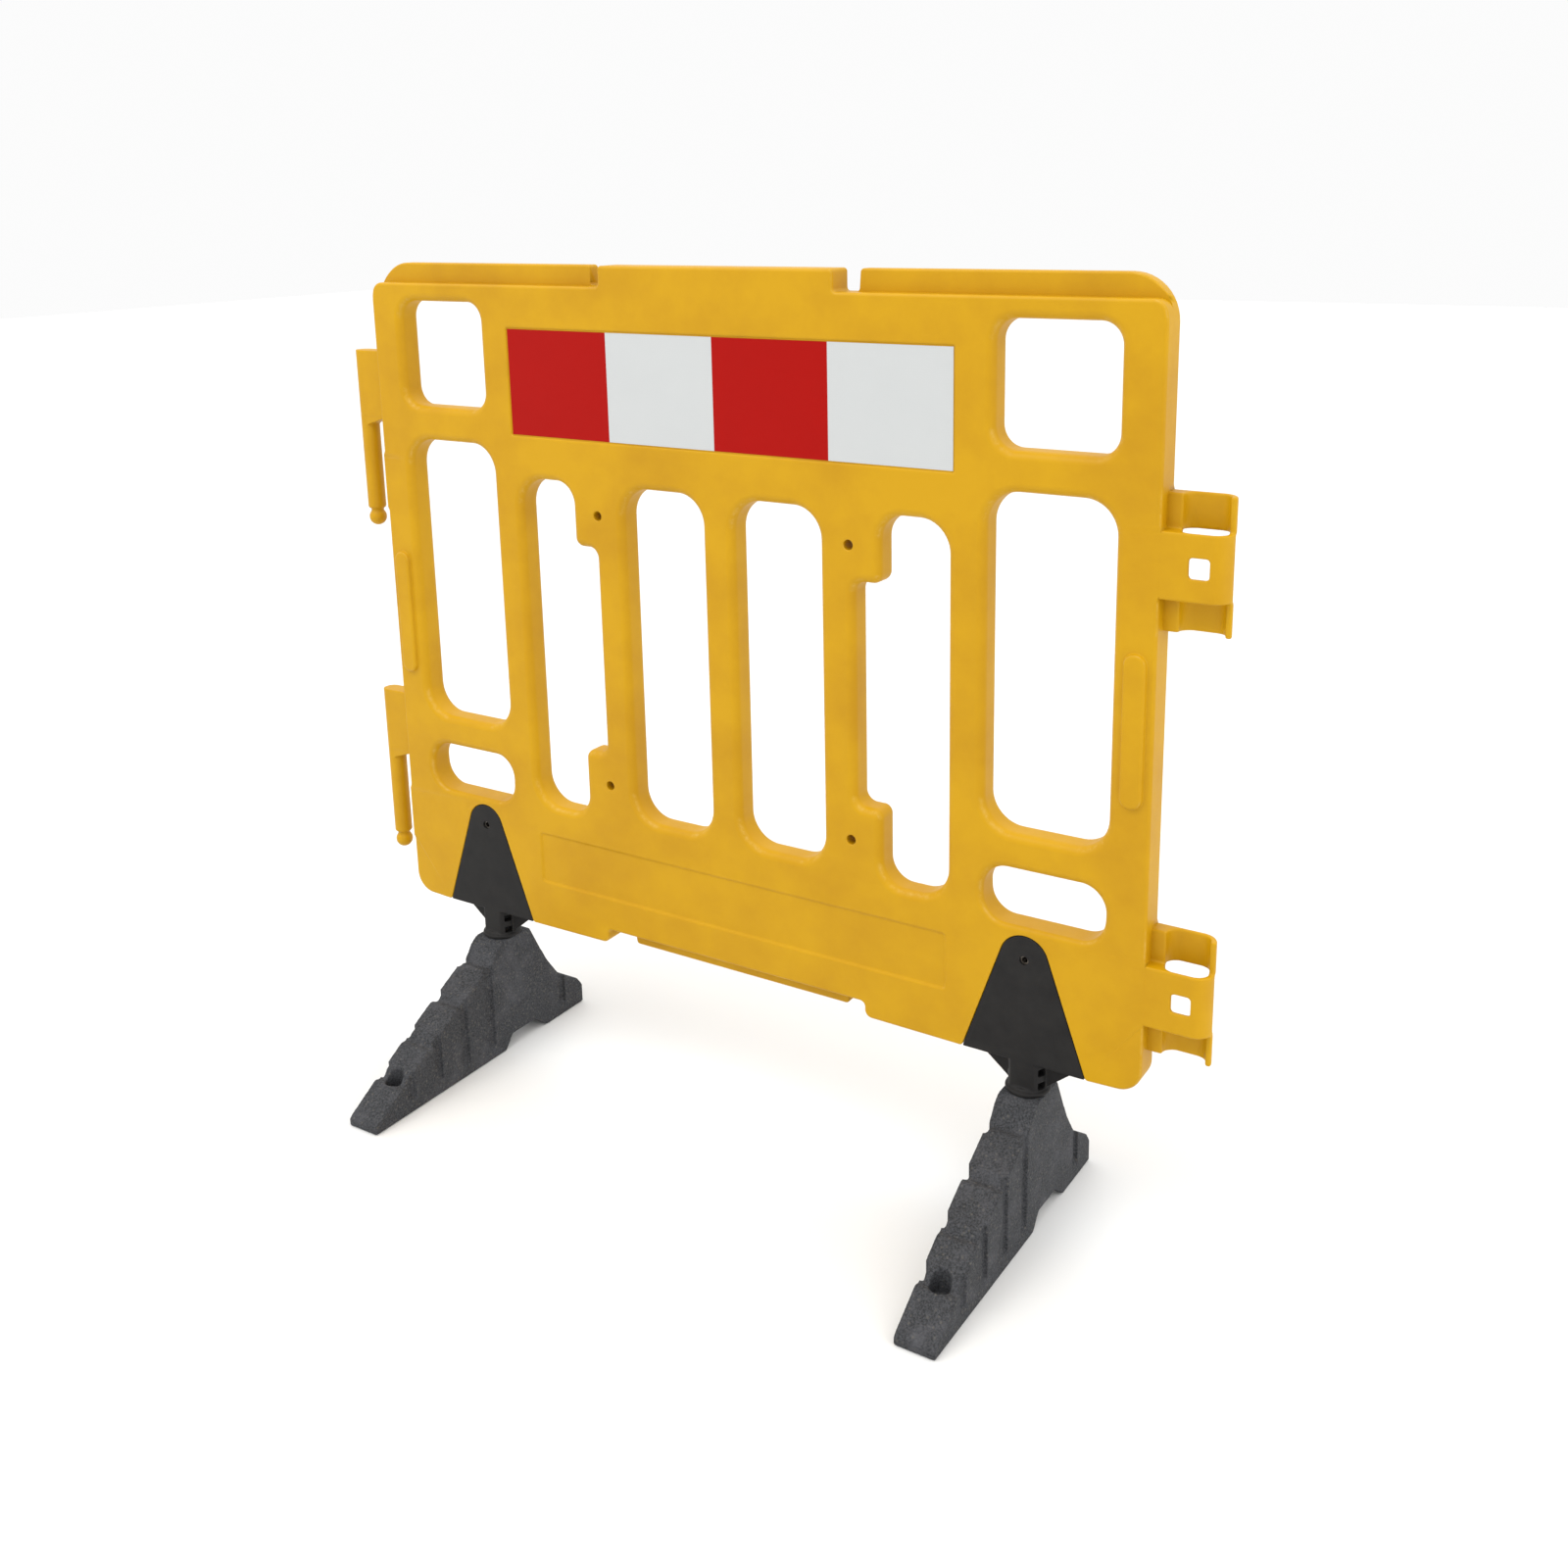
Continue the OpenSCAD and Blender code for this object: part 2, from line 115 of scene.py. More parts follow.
def makeObject(name, bm):
    bmesh.ops.recalc_face_normals(bm, faces=bm.faces)
    mesh = bpy.data.meshes.new(name)
    bm.to_mesh(mesh)
    bm.free()
    return linkObject(name, mesh)


def settle(piece):
    # bakes the modifiers into the mesh
    bpy.context.view_layer.update()
    graph = bpy.context.evaluated_depsgraph_get()
    mesh = bpy.data.meshes.new_from_object(piece.evaluated_get(graph))
    piece.modifiers.clear()
    piece.data = mesh
    return piece


def combine(piece, tool, operation):
    cut = piece.modifiers.new("cut", "BOOLEAN")
    cut.object = tool
    cut.operation = operation
    cut.solver = "EXACT"
    settle(piece)
    bpy.data.objects.remove(tool)
    return piece


def mould(piece, grid, passes):
    # fuses the overlapping closed pieces of a mesh into one skin and softens its edges, as a mould does
    remesh = piece.modifiers.new("skin", "REMESH")
    remesh.mode = "VOXEL"
    remesh.voxel_size = grid
    remesh.use_smooth_shade = True
    smooth = piece.modifiers.new("soft", "SMOOTH")
    smooth.factor = 0.5
    smooth.iterations = passes
    return settle(piece)


def shadeByAngle(piece, degrees):
    for face in piece.data.polygons:
        face.use_smooth = True
    piece.data.set_sharp_from_angle(angle=math.radians(degrees))
    weighted = piece.modifiers.new("flat faces stay flat", "WEIGHTED_NORMAL")
    weighted.keep_sharp = True
    weighted.weight = 80


def markEdges(piece):
    # where a face rolls over into an edge the surface gets rubbed: that share goes into an attribute
    flatTilt, largeArea, rubTilt, rubSpread = 0.985, 60, 0.68, 0.3
    rub = piece.data.attributes.new("edgeRub", "FLOAT", "POINT")
    flat = set()
    for face in piece.data.polygons:
        if abs(face.normal.y) > flatTilt or face.area > largeArea:
            flat.update(face.vertices)
    for vertex in piece.data.vertices:
        share = max(0.0, 1 - abs(abs(vertex.normal.y) - rubTilt) / rubSpread)
        rub.data[vertex.index].value = 0.0 if vertex.index in flat else share


def carry(piece, x=0):
    # from millimetres about the panel's middle to metres in the frame
    piece.data.transform(Matrix.Translation(Vector((middleX + x, middleY, 0)) * mm) @ Matrix.Scale(mm, 4))
    return piece


def outline(corners, arcStep=7.5):
    # closed path, anticlockwise, from corners of x, z, radius and, where given, edge share and back share.
    # Each point of the path is x, z, inward x, inward z, edge share, back share.
    path = []
    for i, corner in enumerate(corners):
        nextCorner = corners[(i + 1) % len(corners)]
        p, before, after = (Vector(c[:2]) for c in (corner, corners[i - 1], nextCorner))
        radius = corner[2]
        shares = tuple(corner[3:]) + (1.0, 0.0)[len(corner) - 3:]
        d1, d2 = (p - before).normalized(), (after - p).normalized()
        n1, n2 = Vector((-d1.y, d1.x)), Vector((-d2.y, d2.x))
        turn = math.atan2(d1.x * d2.y - d1.y * d2.x, d1.dot(d2))
        if radius <= 0 or abs(turn) < 1e-4:
            v = (n1 + n2) / (1 + n1.dot(n2))
            path.append((p.x, p.y, v.x, v.y) + shares)
            continue
        side = 1 if turn > 0 else -1
        centre = p - d1 * radius * math.tan(abs(turn) / 2) + n1 * radius * side
        count = max(2, round(math.degrees(abs(turn)) / arcStep))
        for k in range(count + 1):
            a = turn * k / count
            c, s = math.cos(a), math.sin(a)
            n = Vector((n1.x * c - n1.y * s, n1.x * s + n1.y * c))
            q = centre - n * radius * side
            path.append((q.x, q.y, n.x, n.y) + shares)
    return path


def turnedOut(path):
    # the same path with its material on the other side, for openings and recesses
    return [(x, z, -vx, -vz, a, b) for x, z, vx, vz, a, b in path]


def mirrored(path):
    return [(-x, z, -vx, vz, a, b) for x, z, vx, vz, a, b in reversed(path)]


def roundBox(x0, z0, x1, z1, r):
    return outline([(x0, z0, r), (x1, z0, r), (x1, z1, r), (x0, z1, r)])


def arcPoint(x, z, r, angle, back=0.0):
    return x + r * math.cos(angle), z + r * math.sin(angle), -math.cos(angle), -math.sin(angle), 1.0, back


def circlePath(x, z, r, count=24):
    turns = [2 * math.pi * k / count for k in range(count)]
    return [arcPoint(x, z, r, t) for t in turns]


def ringAt(bm, path, place):
    # one ring of vertices: place gives offset into the material and depth y for a point of the path
    ring = []
    for point in path:
        offset, y = place(point)
        ring.append(bm.verts.new((point[0] + point[2] * offset, y, point[1] + point[3] * offset)))
    return ring


def bridge(bm, rings):
    for a, b in zip(rings, rings[1:]):
        for i in range(len(a)):
            bm.faces.new((a[i - 1], a[i], b[i], b[i - 1]))


def filletWall(bm, path, radius, face, end, backRadius=0.0, steps=6):
    # rounded edge at the face, a straight wall to the end depth, and a second rounding where asked
    away = 1 if end > face else -1
    rings = []
    for k in range(steps + 1):
        a = math.pi / 2 * k / steps
        rings.append(ringAt(bm, path, lambda p: (
            radius * p[4] * (1 - math.sin(a)), face + away * radius * p[4] * (1 - math.cos(a)))))
    for k in range(steps + 1 if backRadius else 1):
        a = math.pi / 2 * k / steps
        rings.append(ringAt(bm, path, lambda p: (
            backRadius * p[5] * (1 - math.cos(a)), end - away * backRadius * p[5] * (1 - math.sin(a)))))
    bridge(bm, rings)
    return rings[0]


def capFace(bm, outer, holes):
    # flat face inside one ring and round the others
    loops = [outer] + holes
    flat = [v for loop in loops for v in loop]
    for tri in tessellate_polygon([[Vector((v.co.x, v.co.z, 0)) for v in loop] for loop in loops]):
        bm.faces.new([flat[i] for i in tri])


def stepPocket(bm, path, profile, face, inward):
    # recess or lug in a face: the profile lists offset into the material and depth, from the face on
    rings = [ringAt(bm, path, lambda p: (offset, face + inward * depth)) for offset, depth in profile]
    bridge(bm, rings)
    capFace(bm, rings[-1], [])
    return rings[0]


def prism(bm, points, low, high, plane="xy"):
    # closed prism of a flat outline: xy rises along z, xz runs along y, yz runs along x
    orders = {
        "xy": lambda u, v, w: (u, v, w),
        "xz": lambda u, v, w: (u, w, v),
        "yz": lambda u, v, w: (w, u, v),
    }
    order = orders[plane]
    bottom = [bm.verts.new(order(u, v, low)) for u, v in points]
    top = [bm.verts.new(order(u, v, high)) for u, v in points]
    bridge(bm, [bottom, top])
    bm.faces.new(bottom)
    bm.faces.new(top)


def arc(x, y, r, start, stop, count=12):
    turns = [math.radians(start + (stop - start) * k / count) for k in range(count + 1)]
    return [(x + r * math.cos(t), y + r * math.sin(t)) for t in turns]


def lathe(bm, x, y, profile, count=48):
    # closed body turned about an upright axis from radius and height pairs
    rings = []
    for r, z in profile:
        rings.append([bm.verts.new((x + r * math.cos(2 * math.pi * k / count),
                                    y + r * math.sin(2 * math.pi * k / count), z)) for k in range(count)])
    bridge(bm, rings)
    bm.faces.new(rings[0])
    bm.faces.new(rings[-1])


def newMaterial(name):
    material = bpy.data.materials.new(name)
    material.use_nodes = True
    tree = material.node_tree
    tree.nodes.clear()
    output = addNode(tree, "ShaderNodeOutputMaterial")
    shader = addNode(tree, "ShaderNodeBsdfPrincipled")
    tree.links.new(shader.outputs["BSDF"], output.inputs["Surface"])
    place = addNode(tree, "ShaderNodeTexCoord").outputs["Object"]
    return material, tree, shader, place


def perMetre(sizeMm):
    return 1000 / sizeMm  # texture scale for a pattern of that size


def noise(tree, place, sizeMm, detail, roughness=0.5):
    settings = {"Scale": perMetre(sizeMm), "Detail": detail, "Roughness": roughness}
    return addNode(tree, "ShaderNodeTexNoise", settings, {"Vector": place}).outputs["Fac"]


def ranged(tree, source, fromMin, fromMax, toMin, toMax):
    settings = {"From Min": fromMin, "From Max": fromMax, "To Min": toMin, "To Max": toMax}
    return addNode(tree, "ShaderNodeMapRange", settings, {"Value": source}).outputs["Result"]


def calculated(tree, operation, sources):
    # a math node; each source is a socket or a plain number
    node = addNode(tree, "ShaderNodeMath", {"operation": operation})
    for i, source in enumerate(sources):
        if isinstance(source, float):
            node.inputs[i].default_value = source
        else:
            tree.links.new(source, node.inputs[i])
    return node.outputs["Value"]


def toned(tree, source, stops):
    # colour ramp between two stops of position and sRGB colour
    node = addNode(tree, "ShaderNodeValToRGB", {}, {"Fac": source})
    for i, (position, colour) in enumerate(stops):
        node.color_ramp.elements[i].position = position
        node.color_ramp.elements[i].color = linear(colour)
    return node.outputs["Color"]


def overlaid(tree, mask, under, colour):
    # a colour laid over a socket's colour, or over another plain one, where the mask says
    node = addNode(tree, "ShaderNodeMix", {"data_type": "RGBA"})
    tree.links.new(mask, node.inputs["Factor"])
    if isinstance(under, str):
        node.inputs[6].default_value = linear(under)
    else:
        tree.links.new(under, node.inputs[6])
    node.inputs[7].default_value = linear(colour)
    return node.outputs[2]


def rubbedEdges(tree, under, breakup, s):
    # the edges marked on the mesh get a paler colour, broken up by a noise
    edge = addNode(tree, "ShaderNodeAttribute", {"attribute_name": "edgeRub"}).outputs["Fac"]
    edgeMask = ranged(tree, edge, 0.1, 0.9, 0.0, s["rubShare"])
    breakMask = ranged(tree, breakup, *s["rubRange"], 0.0, 1.0)
    return overlaid(tree, calculated(tree, "MULTIPLY", (edgeMask, breakMask)), under, s["rubbed"])


def bumped(tree, height, strength, depthMm, normal=None):
    sources = {"Height": height}
    if normal is not None:
        sources["Normal"] = normal
    settings = {"Strength": strength, "Distance": depthMm * mm}
    return addNode(tree, "ShaderNodeBump", settings, sources).outputs["Normal"]


def dressShader(tree, shader, s, colour, sheen, normal):
    # colour and relief, roughness that follows a pattern, and the settings' own plain values
    tree.links.new(colour, shader.inputs["Base Color"])
    tree.links.new(ranged(tree, sheen, 0.0, 1.0, *s["roughness"]), shader.inputs["Roughness"])
    tree.links.new(normal, shader.inputs["Normal"])
    for key, value in s["shader"].items():
        shader.inputs[key].default_value = value


# High density polyethylene, moulded: satin and slightly waxy, with soft mottling, a fine pebbled skin,
# faint drag marks and edges that have rubbed paler.
polyethylene = {
    "tone": ((0.3, "#B68600"), (0.62, "#C19200")), "mottleMm": 90,
    "pale": "#C89A18", "streakMm": 60, "streakStretch": 7.0, "streakRange": (0.62, 0.8, 0.0, 0.35),
    "rubbed": "#CEAB5E", "rubMm": 7, "rubShare": 0.5, "rubRange": (0.42, 0.7),
    "waveMm": 26, "waveDepthMm": 0.3, "skinMm": 1.6, "skinDepthMm": 0.035,
    "roughness": (0.40, 0.56), "shader": {"IOR": 1.51, "Specular IOR Level": 0.22},
}


def polyethyleneMoulded():
    s = polyethylene
    material, tree, shader, place = newMaterial("polyethylene moulded yellow")
    tone = toned(tree, noise(tree, place, s["mottleMm"], 5.0, 0.6), s["tone"])
    stretch = {"Scale": (1.0, 1.0, s["streakStretch"])}
    stretched = addNode(tree, "ShaderNodeMapping", stretch, {"Vector": place}).outputs["Vector"]
    streak = ranged(tree, noise(tree, stretched, s["streakMm"], 8.0, 0.7), *s["streakRange"])
    breakup = noise(tree, place, s["rubMm"], 6.0, 0.7)
    worn = rubbedEdges(tree, overlaid(tree, streak, tone, s["pale"]), breakup, s)
    coarse = bumped(tree, noise(tree, place, s["waveMm"], 1.0), 0.35, s["waveDepthMm"])
    fine = bumped(tree, noise(tree, place, s["skinMm"], 2.0), 0.5, s["skinDepthMm"], coarse)
    dressShader(tree, shader, s, worn, breakup, fine)
    return material


# Retroreflective sheeting, pressed in tiny cells under a clear skin: flat, even colour with a soft sheen
# and the faintest cell pattern. The real cells are under a millimetre, so they are drawn at 2.4 mm.
sheeting = {
    "cellMm": 2.4, "cellEdge": (0.0, 0.12, 0.22, 0.0), "cellDepthMm": 0.05, "cloudMm": 45, "cloudShare": 0.3,
    "roughness": (0.35, 0.48),
    "shader": {"IOR": 1.49, "Specular IOR Level": 0.1, "Coat Weight": 0.02, "Coat Roughness": 0.22},
}


def sheetingPrinted(name, base, faint):
    s = sheeting
    material, tree, shader, place = newMaterial(name)
    pattern = {"feature": "DISTANCE_TO_EDGE", "Scale": perMetre(s["cellMm"]), "Randomness": 0.15}
    cells = addNode(tree, "ShaderNodeTexVoronoi", pattern, {"Vector": place}).outputs["Distance"]
    cloud = noise(tree, place, s["cloudMm"], 3.0)
    cellEdge = ranged(tree, cells, *s["cellEdge"])
    shade = calculated(tree, "MULTIPLY_ADD", (cloud, s["cloudShare"], cellEdge))
    relief = bumped(tree, cells, 0.12, s["cellDepthMm"])
    dressShader(tree, shader, s, overlaid(tree, shade, base, faint), cloud, relief)
    return material


# Glass filled nylon, injection moulded black: dull charcoal with a fine spark eroded grain,
# cloudy flow marks and greyish scuffs along its edges.
nylon = {
    "tone": ((0.35, "#1E1D1D"), (0.7, "#272625")), "cloudMm": 35,
    "rubbed": "#52504E", "rubMm": 4, "rubShare": 0.8, "rubRange": (0.45, 0.65),
    "grainMm": 0.9, "grainDepthMm": 0.04,
    "roughness": (0.44, 0.64), "shader": {"IOR": 1.53, "Specular IOR Level": 0.13},
}


def nylonMoulded():
    s = nylon
    material, tree, shader, place = newMaterial("nylon glass filled moulded black")
    cloud = noise(tree, place, s["cloudMm"], 5.0, 0.65)
    breakup = noise(tree, place, s["rubMm"], 6.0, 0.75)
    worn = rubbedEdges(tree, toned(tree, cloud, s["tone"]), breakup, s)
    relief = bumped(tree, noise(tree, place, s["grainMm"], 3.0), 0.5, s["grainDepthMm"])
    dressShader(tree, shader, s, worn, cloud, relief)
    return material


# Recycled rubber crumb, pressed hot in a mould: matt dark grey, pressed grains of 1 to 3 mm,
# pale flecks of other plastics, and dusty patches where feet and boots have rubbed it.
crumb = {
    "tone": ((0.4, "#252628"), (0.6, "#444548")), "grainMm": 2.2, "grainDepthMm": 0.55,
    "dust": "#58585C", "dustMm": 38, "dustRange": (0.48, 0.75, 0.0, 0.55),
    "fleck": "#6F6A62", "fleckMm": 5.0, "fleckFrom": 0.66, "fleckRange": (0.1, 0.38, 0.34, 0.0),
    "roughness": (0.68, 0.92), "shader": {"IOR": 1.52, "Specular IOR Level": 0.25},
}


def crumbPressed():
    s = crumb
    material, tree, shader, place = newMaterial("recycled rubber crumb pressed grey")
    grain = noise(tree, place, s["grainMm"], 6.0, 0.7)
    patch = noise(tree, place, s["dustMm"], 5.0, 0.7)
    dusty = overlaid(tree, ranged(tree, patch, *s["dustRange"]), toned(tree, grain, s["tone"]), s["dust"])
    # only some of the cells hold a fleck, and only at their middle
    cell = addNode(tree, "ShaderNodeTexVoronoi", {"Scale": perMetre(s["fleckMm"])}, {"Vector": place})
    draw = addNode(tree, "ShaderNodeSeparateColor", {}, {"Color": cell.outputs["Color"]}).outputs["Red"]
    chosen = calculated(tree, "GREATER_THAN", (draw, s["fleckFrom"]))
    middle = ranged(tree, cell.outputs["Distance"], *s["fleckRange"])
    flecked = overlaid(tree, calculated(tree, "MULTIPLY", (chosen, middle)), dusty, s["fleck"])
    dressShader(tree, shader, s, flecked, patch, bumped(tree, grain, 1.0, s["grainDepthMm"]))
    return material


# Carbon steel, zinc plated and weathered: dull grey brown metal, a cloudy satin bloom and fine draw marks.
plating = {
    "tone": ((0.35, "#54493F"), (0.65, "#77726B")), "bloomMm": 9, "scratchMm": 0.8, "scratchDepthMm": 0.02,
    "roughness": (0.35, 0.59), "shader": {"Metallic": 1.0},
}


def steelZincPlated():
    s = plating
    material, tree, shader, place = newMaterial("steel zinc plated")
    bloom = noise(tree, place, s["bloomMm"], 6.0, 0.7)
    relief = bumped(tree, noise(tree, place, s["scratchMm"], 2.0), 0.3, s["scratchDepthMm"])
    dressShader(tree, shader, s, toned(tree, bloom, s["tone"]), bloom, relief)
    return material


yellowPlastic = polyethyleneMoulded()
redSheeting = sheetingPrinted("retroreflective sheeting pressed red", "#A00600", "#900400")
whiteSheeting = sheetingPrinted("retroreflective sheeting pressed white", "#BEC0C0", "#B4B7B8")
blackNylon = nylonMoulded()
greyCrumb = crumbPressed()
zincSteel = steelZincPlated()
print("materials made")


def finishPiece(piece, material, body, slotName, *nodes):
    piece.data.materials.clear()
    piece.data.materials.append(material)
    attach(piece, body)
    if nodes:
        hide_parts(*nodes)
    return piece


# the moulded panel: x from its middle, heights from the floor; the steps list offset and depth
panel = {
    "half": 500.0, "ledge": 23.0, "tab": 150.0, "tabGap": 23.0, "lip": 18.0, "lipGap": 30.0,
    "backCorner": 45.0, "bottomCorner": 26.0, "outerEdge": 3.5, "openingEdge": 9.5, "flangeEdge": 2.6,
    "barHalf": 20.5, "slot": 109.5, "bar": 41.0, "stile": 44.0, "slotLow": 349.0, "innerLow": 357.0,
    "slotHigh": 755.0, "sideLow": 439.0, "sideHigh": 790.0, "handLow": 339.0, "handHigh": 400.0,
    "windowWidth": 127.0, "windowLow": 831.0, "windowHigh": 956.0, "slotCorner": 34.0, "handCorner": 27.0,
    "windowCorner": 22.0, "bossWidth": 31.5, "bossHeight": 39.0, "bossCorner": 26.0,
    "signX": 165.5, "signLow": 394.0,
    "signHigh": 720.0, "signRadius": 5.5, "signEdge": 0.14, "handEdge": 0.62,
    "filmHalf": 287.5, "filmLow": 804.8, "filmHigh": 929.2,
    "filmStep": [(2.6, 0), (1.5, 0.12), (0.6, 0.5), (0.1, 1.05), (0, 1.6)],
    "plateHalf": 279.5, "plateLow": 247.0, "plateHigh": 311.0,
    "plateStep": [(2.4, 0), (1.5, 0.15), (0.6, 0.6), (-0.4, 1.3), (-1.3, 1.85), (-2.2, 2.0)],
    "lugX": 480.0, "lugHalf": 11.5, "lugLow": 491.0, "lugHigh": 647.0,
    "lugStep": [(1.5, 0), (0.7, 0.2), (0.2, 0.8), (0, 1.6), (-0.3, 3.0), (-1.0, 4.1), (-2.2, 4.75),
                (-4.0, 5.0)],
}

# the foot brackets: flat cheeks let into the panel, over its own plastic
bracket = {
    "base": 69.5, "apexZ": 303.0, "top": 26.8, "cheek": 5.0, "saddle": 6.0, "gap": 0.8, "edge": 1.1,
    "hole": 5.0, "seat": 5.3, "coreGrow": 2.4, "pocketHalf": 15.0, "pocketTop": 215.0,
}


def bracketCorners(grow, base, x=0.0):
    # the three corners of a bracket's outline, made larger all round by grow
    rise = bracket["apexZ"] - panelFoot
    slant = math.hypot(bracket["base"], rise)
    lean = math.atan2(bracket["base"], rise) - math.asin(bracket["top"] / slant)
    half = bracket["base"] + grow / math.cos(lean) - (base - panelFoot) * math.tan(lean)
    apex = bracket["apexZ"] + (bracket["top"] + grow) / math.sin(lean)
    return [(x - half, base), (x + half, base), (x, apex)], bracket["top"] + grow


def seatNotch(x):
    # notch for a bracket in the panel's lower edge, run through from left to right
    (left, right, apex), r = bracketCorners(bracket["gap"], panelFoot, x)
    return [left + (4.0, 0.3), apex + (r, 0.3), right + (4.0, 0.3)]


# link pins and sockets: heights of their middles, then sizes
links = {
    "upper": 734.5, "lower": 297.0, "strap": 65.0, "half": 34.0, "out": 37.0, "pin": 11.0, "tip": 10.8,
    "hollow": 44.0, "wall": 4.5, "end": 6.0, "peep": 20.0, "lap": 1.6, "fade": 5,
}


def sidePoints(front):
    # heights up the right edge of one half of the panel, with the share of its rounded edge at each:
    # the rounding fades where a strap of the sockets carries the face on
    points = []
    for z in (links["lower"], links["upper"]):
        inner, outer = links["strap"] / 2, links["strap"] / 2 + links["half"]
        spans = [(z - inner, z + inner)] if front else [(z - outer, z - inner), (z + inner, z + outer)]
        for low, high in spans:
            points += [(low - links["fade"], 1.0), (low, 0.0), (high, 0.0), (high + links["fade"], 1.0)]
    return dict(points)


def shareAt(own, z):
    # between a half's own points the share follows the line
    below = [k for k in sorted(own) if k < z]
    above = [k for k in sorted(own) if k > z]
    if z in own or not below or not above:
        return own.get(z, 1.0)
    a, b = own[below[-1]], own[above[0]]
    return a + (b - a) * ((z - below[-1]) / (above[0] - below[-1]))


def panelHalf(front):
    # outline of the front or the back half, anticlockwise, from the lower edge's middle
    p = panel
    ledgeZ = panelTop - p["ledge"]
    lipZ = panelFoot + p["lip"]
    lipX = p["tab"] + p["lipGap"]
    low = [] if front else [(p["tab"], panelFoot, 4.0, 0.8, 1.0), (p["tab"], lipZ, 4.0, 0.8, 0.0)]
    right = low + [(lipX, lipZ, 6.0), (lipX, panelFoot, 9.0)] + seatNotch(footX)
    right += [(p["half"], panelFoot, p["bottomCorner"])]
    own = sidePoints(front)
    for z in sorted({**sidePoints(True), **sidePoints(False)}):
        right.append((p["half"], z, 0.0, shareAt(own, z)))
    path = outline([(0.0, lipZ if front else panelFoot, 0.0, 1.0, 0.0 if front else 1.0)]
                   + right + [(p["half"], panelTop + 200, 0.0), (0.0, panelTop + 200, 0.0)])
    keep = [c for c in path if c[1] < panelTop + 100]
    # the corner: the back half turns on a large arc, the front half leaves it for a tighter one
    big = p["backCorner"]
    centreX, centreZ = p["half"] - big, panelTop - big
    leave = math.radians(15)
    for degree in [7.5 * k for k in range(3 if front else 13)]:
        back = 0.0 if front or degree <= 30 else min(1.0, (degree - 30) / 20)
        keep.append(arcPoint(centreX, centreZ, big, math.radians(degree), back))
    if front:
        small = (ledgeZ - centreZ - big * math.sin(leave)) / (1 - math.sin(leave))
        cx = centreX + (big - small) * math.cos(leave)
        cz = centreZ + (big - small) * math.sin(leave)
        for degree in (27.5, 40, 52.5, 65, 77.5, 90):
            keep.append(arcPoint(cx, cz, small, math.radians(degree)))
        keep.append((p["tab"] + p["tabGap"] - 4, ledgeZ, 0.0, -1.0, 1.0, 0.0))
    gap = p["tab"] + p["tabGap"]
    tail = [] if front else [(gap, panelTop, 4.0, 1.0, 1.0), (gap, ledgeZ, 4.0, 1.0, 0.0)]
    tail += [(p["tab"], ledgeZ, 4.0), (p["tab"], panelTop, 4.0)]
    # the first and the last three points only give the corners their directions
    rest = outline([(centreX, ledgeZ if front else panelTop, 0.0)] + tail
                   + [(0.0, panelTop, 0.0), (0.0, panelTop + 400, 0.0), (centreX, panelTop + 400, 0.0)])
    keep += rest[1:-3]
    if not front:  # the flange's front edge is rounded along the top
        keep = [c[:5] + (1.0,) if c[0] > gap + 3.9 and c[1] > panelTop - 0.01 else c for c in keep]
    right = [c for c in keep if c[0] > 1e-6]
    return right + mirrored(right)


def panelOpenings():
    p = panel
    inner = p["barHalf"]
    step = inner + p["slot"] + p["bar"]
    side = step + p["slot"] + p["bar"]
    sideEnd = p["half"] - p["stile"]
    bossX = step + p["bossWidth"]
    bossLow, bossHigh = p["signLow"] + p["bossHeight"], p["signHigh"] - p["bossHeight"]
    corner, boss = p["slotCorner"], p["bossCorner"]
    stepped = [(bossX, p["slotLow"], boss), (step + p["slot"], p["slotLow"], corner),
               (step + p["slot"], p["slotHigh"], corner), (bossX, p["slotHigh"], boss),
               (bossX, bossHigh, 10.5), (step, bossHigh, 12.0), (step, bossLow, 12.0), (bossX, bossLow, 10.5)]
    hand = roundBox(side, p["handLow"], sideEnd, p["handHigh"], p["handCorner"])
    # the hand hold's lower edge is tighter, to clear the bracket
    tight, height = p["handEdge"], p["handHigh"] - p["handLow"]
    hand = [c[:4] + (tight + (1 - tight) * (c[1] - p["handLow"]) / height, 0.0) for c in hand]
    signs = [[c[:4] + (p["signEdge"], 0.0) for c in circlePath(p["signX"], z, p["signRadius"])]
             for z in (p["signLow"], p["signHigh"])]
    shapes = [
        roundBox(inner, p["innerLow"], inner + p["slot"], p["slotHigh"], corner),
        outline(stepped),
        roundBox(side, p["sideLow"], sideEnd, p["sideHigh"], corner),
        roundBox(sideEnd - p["windowWidth"], p["windowLow"], sideEnd, p["windowHigh"], p["windowCorner"]),
        hand,
    ]
    return [turnedOut(path) for shape in shapes + signs for path in (shape, mirrored(shape))]


